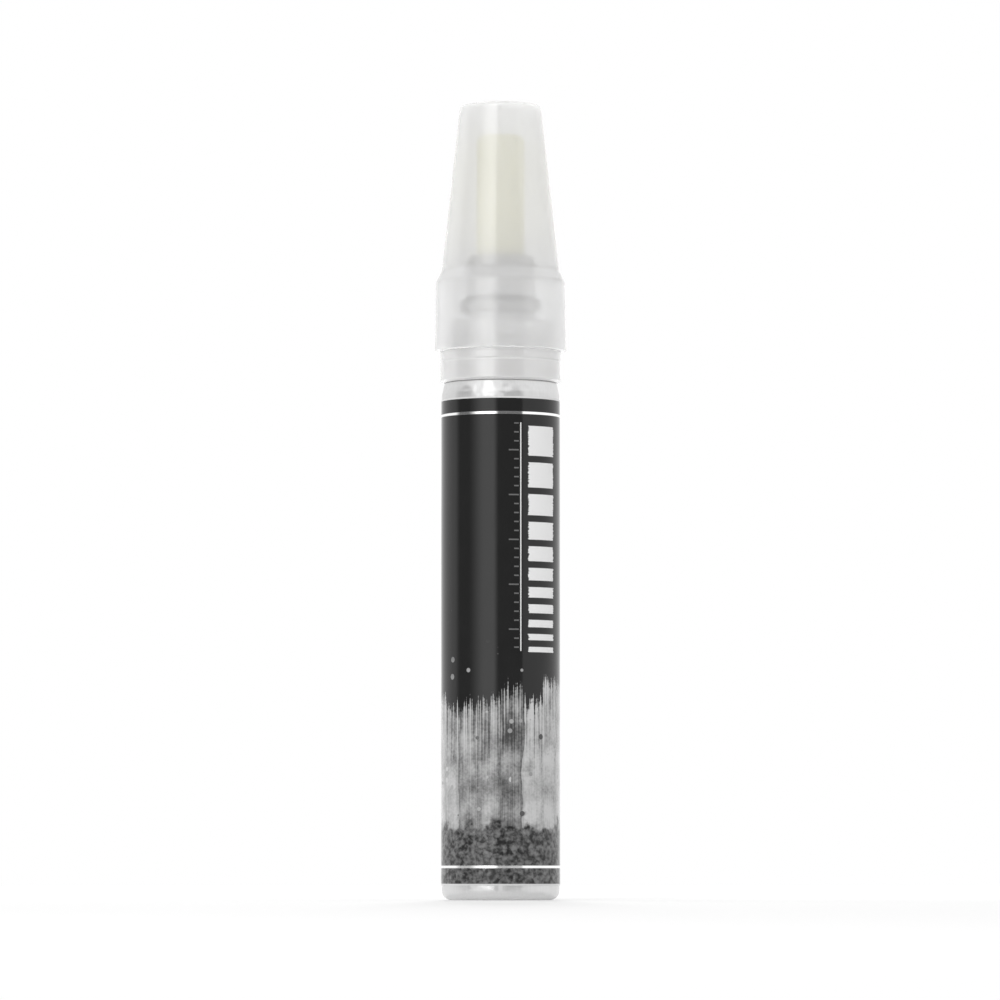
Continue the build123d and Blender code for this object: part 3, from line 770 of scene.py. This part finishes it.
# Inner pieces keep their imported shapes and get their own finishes
innerLook = {
    "acetal": {"colour": grey(0.78), "deepColour": grey(0.70), "roughness": (0.35, 0.5), "cloudSize": 3.0,
               "grainSize": 0.15, "bumpStrength": 0.1, "bumpDepth": 0.02},
    "rubber": {"colour": grey(0.03), "deepColour": grey(0.02), "roughness": (0.6, 0.8), "cloudSize": 2.0,
               "grainSize": 0.12, "bumpStrength": 0.25, "bumpDepth": 0.03},
    "ballSteel": {"colour": grey(0.66), "deepColour": grey(0.58), "roughness": (0.08, 0.2), "cloudSize": 2.0,
                  "grainSize": 0.2, "bumpStrength": 0.02, "bumpDepth": 0.01},
}


def dressInner(look):
    acetal = mouldedPlastic("acetal", look["acetal"])
    rubber = mouldedPlastic("washerRubber", look["rubber"])
    steel = mouldedPlastic("ballSteel", look["ballSteel"], Metallic=1.0)
    finishes = {"valve_seat": acetal, "valve_stem": acetal, "valve_cage": acetal, "valve_washer": rubber,
                "mixing_ball_left": steel, "mixing_ball_right": steel}
    for node, material in finishes.items():
        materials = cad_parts[node].data.materials
        materials.clear()
        materials.append(material)


dressInner(innerLook)
print("inner pieces: finishes done")


# Studio: pale floor, white surroundings that are dark on the camera's side, softboxes at both sides, a strip in
# front, and a strip high behind that throws the shadow forward. Angles are in degrees round the marker, from the
# camera's side, positive to the right. Lengths are in millimetres.
studio = {
    "floorSize": 8000, "floorGrey": 0.82, "floorLift": 0.21, "mirrorLift": 0.44, "whiteFrom": 300, "whiteTo": 800,
    "ambient": 0.57, "darkLevel": 0.16, "backLevel": 1.0, "overhead": {"low": 8, "high": 30, "level": 1.4},
    "rightWall": {"edge": 43, "soft": 1.5, "level": 1.2},
    "leftWall": {"edge": -92, "soft": 7.0, "level": 1.1},
    "strip": {"from": -66, "full": -30, "hold": -15, "to": -3, "level": 2.4, "top": 50, "topSoft": 12},
    "softboxes": {
        "rightBox": {"azimuth": 74, "elevation": 8, "distance": 900, "width": 980, "height": 1300, "level": 0.4},
        "leftBox": {"azimuth": -122, "elevation": 8, "distance": 900, "width": 980, "height": 1300, "level": 0.7},
        "frontStrip": {"azimuth": -21, "elevation": 4, "distance": 900, "width": 330, "height": 1200,
                       "level": 3.65},
        "backStrip": {"azimuth": 180, "elevation": 36, "distance": 900, "width": 110, "height": 450, "level": 22.0,
                      "through": False},
    },
}


# Floor: dull paper that keeps the shadow. What the camera sees of it is lifted to near white, what shines or is clear
# sees it lifted further, and far away it turns fully white to both.
def buildFloor(look):
    half = look["floorSize"] / 2 * mm
    corners = np.array([[-half, -half, 0], [half, -half, 0], [half, half, 0], [-half, half, 0]])
    floor = meshPiece("paleFloor", corners, np.array([[0, 1, 2, 3]]))
    material = bpy.data.materials.new("palePaper")
    material.use_nodes = True
    tree = material.node_tree
    tree.nodes.clear()
    paper = wire(tree, "BsdfDiffuse", {"Color": grey(look["floorGrey"])})
    path = wire(tree, "LightPath").outputs
    mirrored = calc(tree, "MAXIMUM", path["Is Transmission Ray"], path["Is Glossy Ray"])
    seen = calc(tree, "MAXIMUM", path["Is Camera Ray"], mirrored)
    lift = calc(tree, "MULTIPLY", mirrored, look["mirrorLift"])
    lift = calc(tree, "MULTIPLY_ADD", path["Is Camera Ray"], look["floorLift"], lift)
    place = wire(tree, "TexCoord").outputs["Object"]
    away = wire(tree, "VectorMath", {0: place}, operation="LENGTH").outputs["Value"]
    far = fade(tree, away, look["whiteFrom"] * mm, look["whiteTo"] * mm)
    glow = wire(tree, "Emission", {"Strength": lift})
    near = wire(tree, "AddShader", {0: paper.outputs[0], 1: glow.outputs[0]})
    white = wire(tree, "Emission", {"Strength": look["backLevel"]})
    both = wire(tree, "MixShader", {0: calc(tree, "MULTIPLY", seen, far), 1: near.outputs[0], 2: white.outputs[0]})
    wire(tree, "OutputMaterial", {"Surface": both.outputs[0]})
    floor.data.materials.append(material)


# Surroundings: white to the camera and through glass, and an even grey to what is dull. What shines sees a dark room
# in front with one soft strip in it, a white wall from each side's edge on to the back, and white overhead.
def buildWorld(look):
    world = bpy.data.worlds.new("whiteStudio")
    scene.world = world
    world.use_nodes = True
    tree = world.node_tree
    tree.nodes.clear()
    way = wire(tree, "SeparateXYZ", {"Vector": wire(tree, "TexCoord").outputs["Generated"]})
    turn = calc(tree, "ARCTAN2", way.outputs[0], calc(tree, "MULTIPLY", way.outputs[1], -1.0))
    degrees = calc(tree, "MULTIPLY", turn, 180 / np.pi)
    height = calc(tree, "MULTIPLY", calc(tree, "ARCSINE", way.outputs[2]), 180 / np.pi)
    right, left, strip, over = look["rightWall"], look["leftWall"], look["strip"], look["overhead"]
    rightMask = fade(tree, degrees, right["edge"] - right["soft"], right["edge"] + right["soft"])
    leftMask = fade(tree, degrees, left["edge"] + left["soft"], left["edge"] - left["soft"])
    stripMask = fade(tree, height, strip["top"] + strip["topSoft"], strip["top"] - strip["topSoft"])
    for start, end in ((strip["from"], strip["full"]), (strip["to"], strip["hold"])):
        stripMask = calc(tree, "MULTIPLY", stripMask, fade(tree, degrees, start, end))
    shine = look["darkLevel"]
    for mask, part in ((rightMask, right), (leftMask, left), (stripMask, strip)):
        shine = calc(tree, "MULTIPLY_ADD", mask, part["level"] - look["darkLevel"], shine)
    shine = calc(tree, "MAXIMUM", shine, fade(tree, height, over["low"], over["high"], 0.0, over["level"]))
    path = wire(tree, "LightPath").outputs
    clear = calc(tree, "MAXIMUM", path["Is Camera Ray"], path["Is Transmission Ray"])
    level = blend(tree, path["Is Glossy Ray"], grey(look["ambient"]), shine)
    level = blend(tree, clear, level, grey(look["backLevel"]))
    background = wire(tree, "Background", {"Color": level, "Strength": 1.0})
    wire(tree, "OutputWorld", {"Surface": background.outputs[0]})
    world.cycles.sampling_method = "NONE"


# Softboxes: they light what is dull. What shines sees the surroundings instead. The back strip isn't seen through the
# cap either, because it would make a hot spot there.
def buildLights(look):
    aim = Vector((0, 0, capTop / 2 * mm))
    for name, box in look["softboxes"].items():
        a, e = np.radians(box["azimuth"]), np.radians(box["elevation"])
        away = Vector((np.sin(a) * np.cos(e), -np.cos(a) * np.cos(e), np.sin(e)))
        light = bpy.data.lights.new(name, "AREA")
        light.shape, light.size, light.size_y = "RECTANGLE", box["width"] * mm, box["height"] * mm
        light.energy = box["level"] * np.pi * light.size * light.size_y
        lamp = bpy.data.objects.new(name, light)
        lamp.location = aim + away * box["distance"] * mm
        lamp.rotation_euler = (-away).to_track_quat("-Z", "Y").to_euler()
        lamp.visible_camera = lamp.visible_glossy = False
        lamp.visible_transmission = box.get("through", True)
        scene.collection.objects.link(lamp)


buildFloor(studio)
buildWorld(studio)
buildLights(studio)
print("studio: floor, surroundings and", len(studio["softboxes"]), "softboxes done")


# Camera: long lens near the base's height, looking slightly up at the marker's middle
cameraLook = {"lens": 213.9, "sensor": 36, "clip": (0.01, 100), "distance": 1000, "eyeHeight": 5.6,
              "aimHeight": 67.3, "side": -0.1}


def buildCamera(look):
    lens = bpy.data.cameras.new("markerCamera")
    lens.lens, lens.sensor_width = look["lens"], look["sensor"]
    lens.clip_start, lens.clip_end = look["clip"]
    camera = bpy.data.objects.new("markerCamera", lens)
    camera.location = Vector((look["side"], -look["distance"], look["eyeHeight"])) * mm
    sight = Vector((look["side"] * mm, 0, look["aimHeight"] * mm)) - camera.location
    camera.rotation_euler = sight.to_track_quat("-Z", "Y").to_euler()
    scene.collection.objects.link(camera)
    scene.camera = camera


buildCamera(cameraLook)
scene.view_settings.view_transform = "Standard"
scene.cycles.use_denoising = True
scene.cycles.max_bounces = scene.cycles.transmission_bounces = 32
scene.cycles.diffuse_bounces = scene.cycles.glossy_bounces = 16
print("camera: set")
